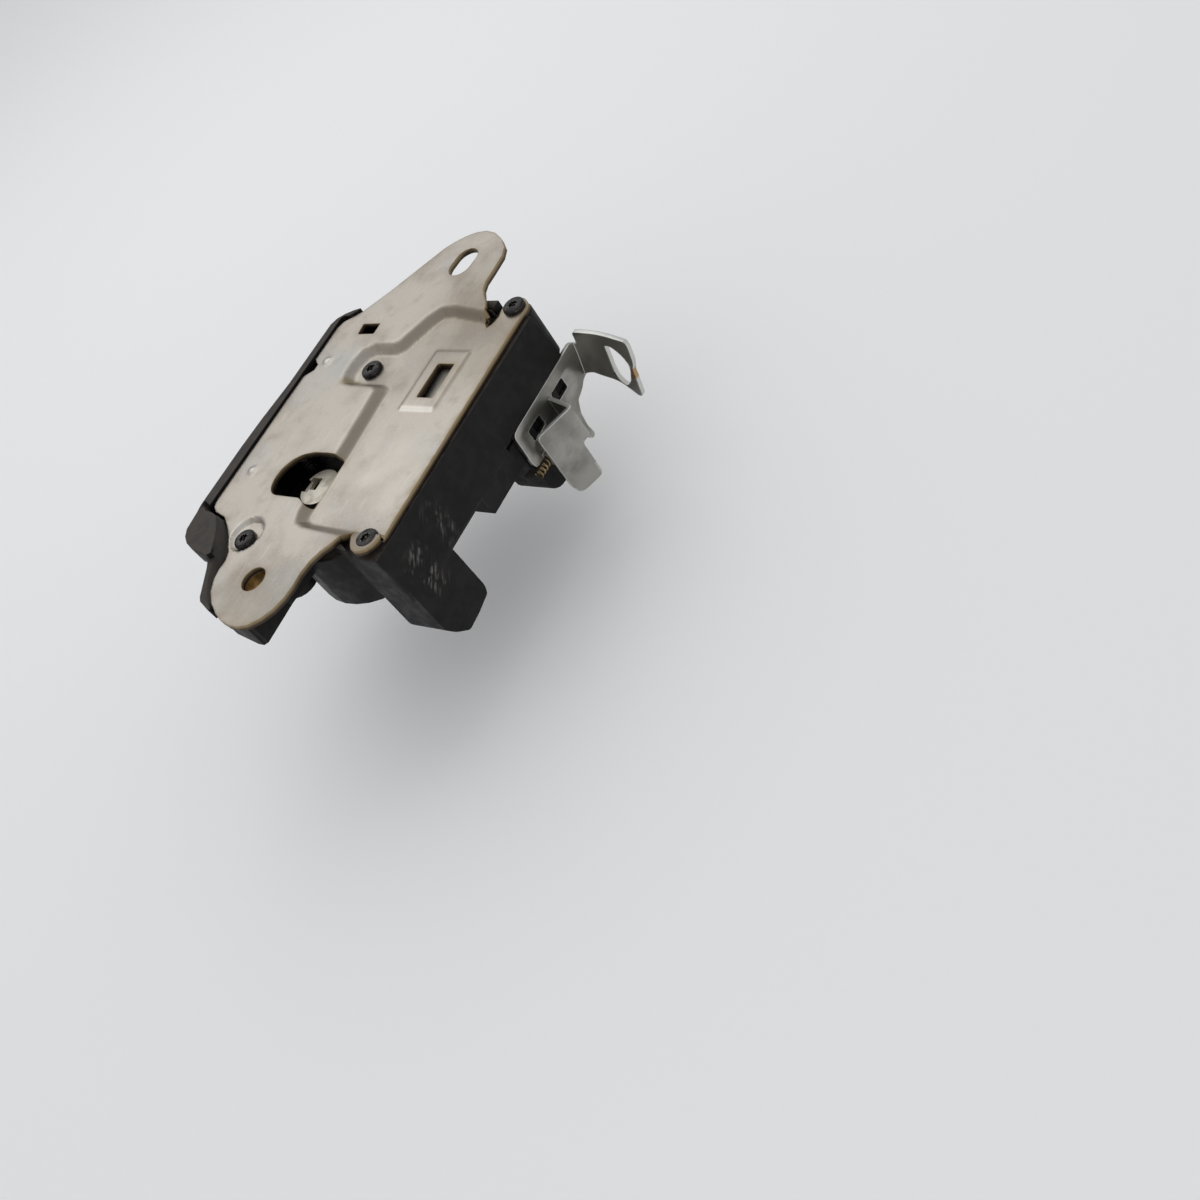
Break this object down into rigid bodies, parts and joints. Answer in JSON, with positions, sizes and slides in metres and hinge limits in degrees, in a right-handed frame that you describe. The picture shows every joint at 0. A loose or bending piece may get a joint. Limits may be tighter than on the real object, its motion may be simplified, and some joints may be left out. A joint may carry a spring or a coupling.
{
  "type": "trunk latch",
  "caption": "Trunk latch: pressed steel mounting plate on a black moulded housing, with a striker claw, pawl, key cam, motor drive and sheet-steel release slider.",
  "frame": {"origin": "midway between the two mounting holes, on the front face of the plate's ears", "axes": "+Z out of the plate's front, +X along the plate from the lower ear to the upper ear, +Y towards the striker's side"},
  "size_m": [0.1609, 0.106, 0.0584],
  "materials": {
    "plate": "zinc-plated pressed steel",
    "zinc_sheet": "zinc-plated sheet steel",
    "zinc_cast": "die-cast zinc, matt",
    "black_screw": "black passivated steel",
    "bright_steel": "ground steel",
    "dark_steel": "phosphated steel",
    "spring_steel": "spring wire",
    "yellow_steel": "yellow-passivated steel",
    "brass": "drawn brass",
    "black_pa": "moulded, fine grain",
    "pom": "moulded",
    "red_pom": "moulded",
    "rubber": "matt"
  },
  "bodies": {
    "latch": {"mounting_plate": "plate", "housing": "black_pa", "rear_cap": "black_pa", "claw_bush": "bright_steel", "claw_spring": "spring_steel", "pawl_pin": "bright_steel", "pawl_spring": "spring_steel", "striker_bumper": "rubber", "motor": "bright_steel", "motor_pad": "rubber", "wheel_axle": "bright_steel", "slider_spring": "yellow_steel", "switch_body": "black_pa", "ear_sleeve": "yellow_steel", "window_backing": "zinc_sheet", "contact_strip_a": "brass", "contact_strip_b": "brass", "contact_strip_c": "brass", "plate_screw_top": "black_screw", "plate_screw_bottom": "black_screw", "plate_screw_claw": "black_screw", "plate_screw_ear": "black_screw", "cap_screw_a": "black_screw", "cap_screw_b": "black_screw", "cap_screw_c": "black_screw"},
    "claw": {"claw": "dark_steel"},
    "pawl": {"pawl": "dark_steel"},
    "key_cam": {"key_cam": "zinc_cast"},
    "release_slider": {"release_slider": "zinc_sheet"},
    "worm_wheel": {"worm_wheel": "pom"},
    "motor_worm": {"motor_worm": "brass"},
    "switch_plunger": {"switch_plunger": "red_pom"}
  },
  "joints": [
    {"name": "claw_turn", "type": "hinge", "parent": "latch", "child": "claw", "pos_m": [0.0192, 0.0125, -0.0155], "axis": [0, 0, 1], "range_deg": [0, 52], "stiffness_Nm_per_rad": 0.12, "springref_deg": -34.38, "deforming": ["claw_spring"]},
    {"name": "pawl_turn", "type": "hinge", "parent": "latch", "child": "pawl", "pos_m": [-0.012, 0.0285, -0.0155], "axis": [0, 0, 1], "range_deg": [-2, 8.5], "stiffness_Nm_per_rad": 0.08, "springref_deg": 22.92, "deforming": ["pawl_spring"]},
    {"name": "key_turn", "type": "hinge", "parent": "latch", "child": "key_cam", "pos_m": [-0.0255, 0.007, -0.0065], "axis": [0, 0, -1], "range_deg": [-90, 0]},
    {"name": "slider_pull", "type": "slide", "parent": "latch", "child": "release_slider", "axis": [1, 0, 0], "range_m": [-0.0044, 0], "stiffness_N_per_m": 300, "springref_m": 0.003, "deforming": ["slider_spring"]},
    {"name": "wheel_turn", "type": "hinge", "parent": "latch", "child": "worm_wheel", "pos_m": [0.004, -0.008, -0.0292], "axis": [0, 0, 1], "range_deg": [-100, 0]},
    {"name": "worm_turn", "type": "hinge", "parent": "latch", "child": "motor_worm", "pos_m": [0, -0.021, -0.0295], "axis": [1, 0, 0], "range_deg": [-2600, 0]},
    {"name": "plunger_slide", "type": "slide", "parent": "latch", "child": "switch_plunger", "axis": [1, 0, 0], "range_m": [-0.0012, 0]}
  ],
  "couplings": [
    {"joint": "worm_turn", "follows": "wheel_turn", "ratio": 26},
    {"joint": "plunger_slide", "follows": "claw_turn", "m_per_rad": -0.001322}
  ]
}
